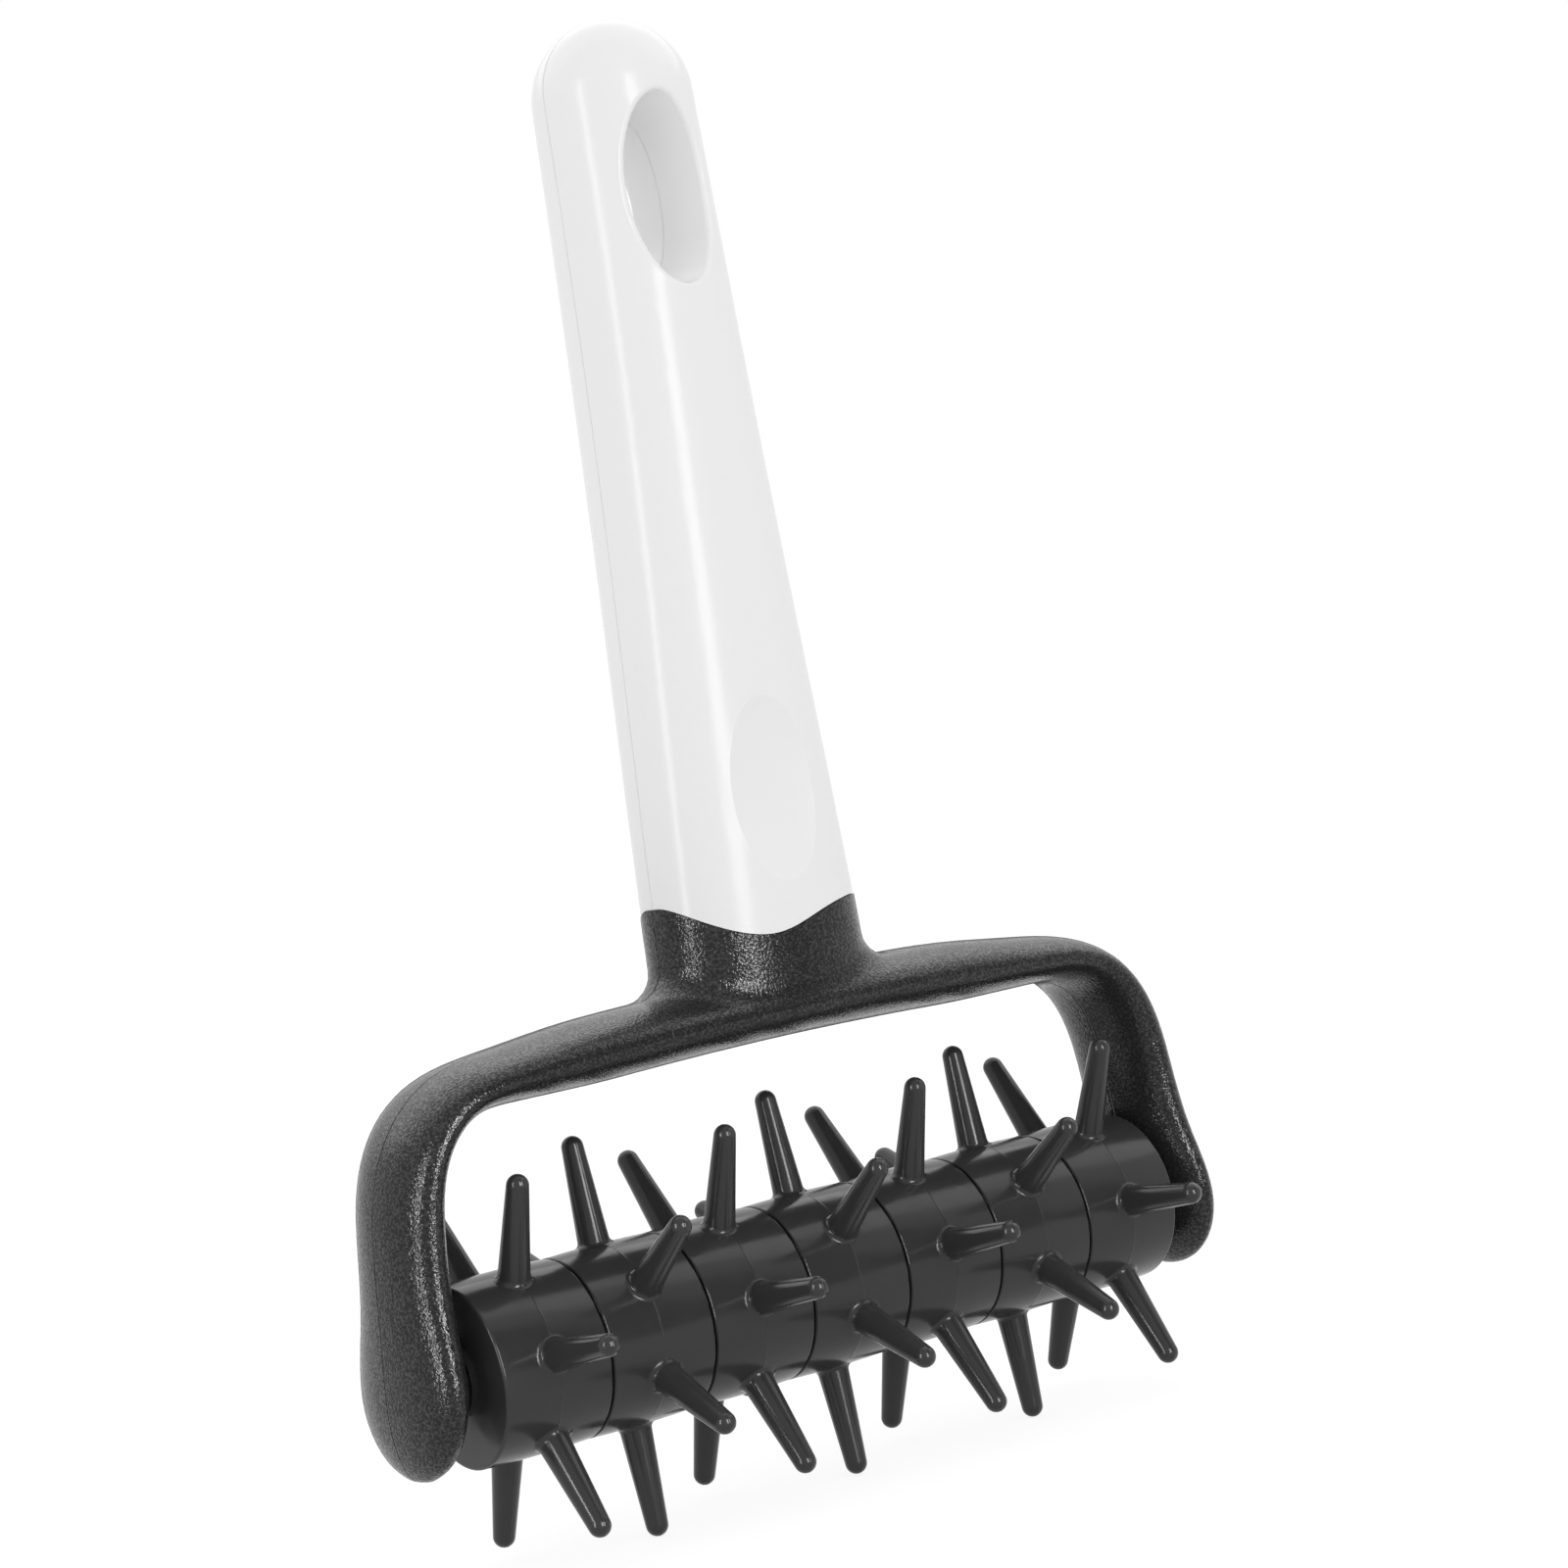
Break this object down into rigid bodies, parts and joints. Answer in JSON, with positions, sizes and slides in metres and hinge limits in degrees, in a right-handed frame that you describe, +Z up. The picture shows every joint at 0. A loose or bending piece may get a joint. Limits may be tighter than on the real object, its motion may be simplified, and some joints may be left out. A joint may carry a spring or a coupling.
{
  "type": "dough docker",
  "caption": "Hand-held dough docker: staggered spiked rings turn on an axle in a U-shaped fork, below a tapering round-topped grip with an oval hang hole.",
  "frame": {"origin": "centre of the bounding box's bottom: under the middle of the roller, level with the lowest spike tip", "axes": "+X along the roller and axle from left to right, -Y the front with the thumb hollow, +Z up the grip"},
  "size_m": [0.1247, 0.0498, 0.1874],
  "materials": {
    "grip_plastic": "smooth white plastic, semi-gloss",
    "fork_plastic": "black plastic with a fine moulded grain, satin",
    "ring_plastic": "smooth black plastic, glossy",
    "steel": "plain drawn steel"
  },
  "bodies": {
    "frame": {"handle_front": "grip_plastic", "handle_back": "grip_plastic", "yoke_front": "fork_plastic", "yoke_back": "fork_plastic", "axle": "steel", "tang_screws": "steel"},
    "roller": {"ring_1": "ring_plastic", "ring_2": "ring_plastic", "ring_3": "ring_plastic", "ring_4": "ring_plastic", "ring_5": "ring_plastic", "ring_6": "ring_plastic", "ring_7": "ring_plastic", "hex_tube": "ring_plastic", "bush_left": "ring_plastic", "bush_right": "ring_plastic"}
  },
  "joints": [
    {"name": "roller_spin", "type": "hinge", "parent": "frame", "child": "roller", "pos_m": [0, 0, 0.02489], "axis": [1, 0, 0], "continuous": true}
  ]
}
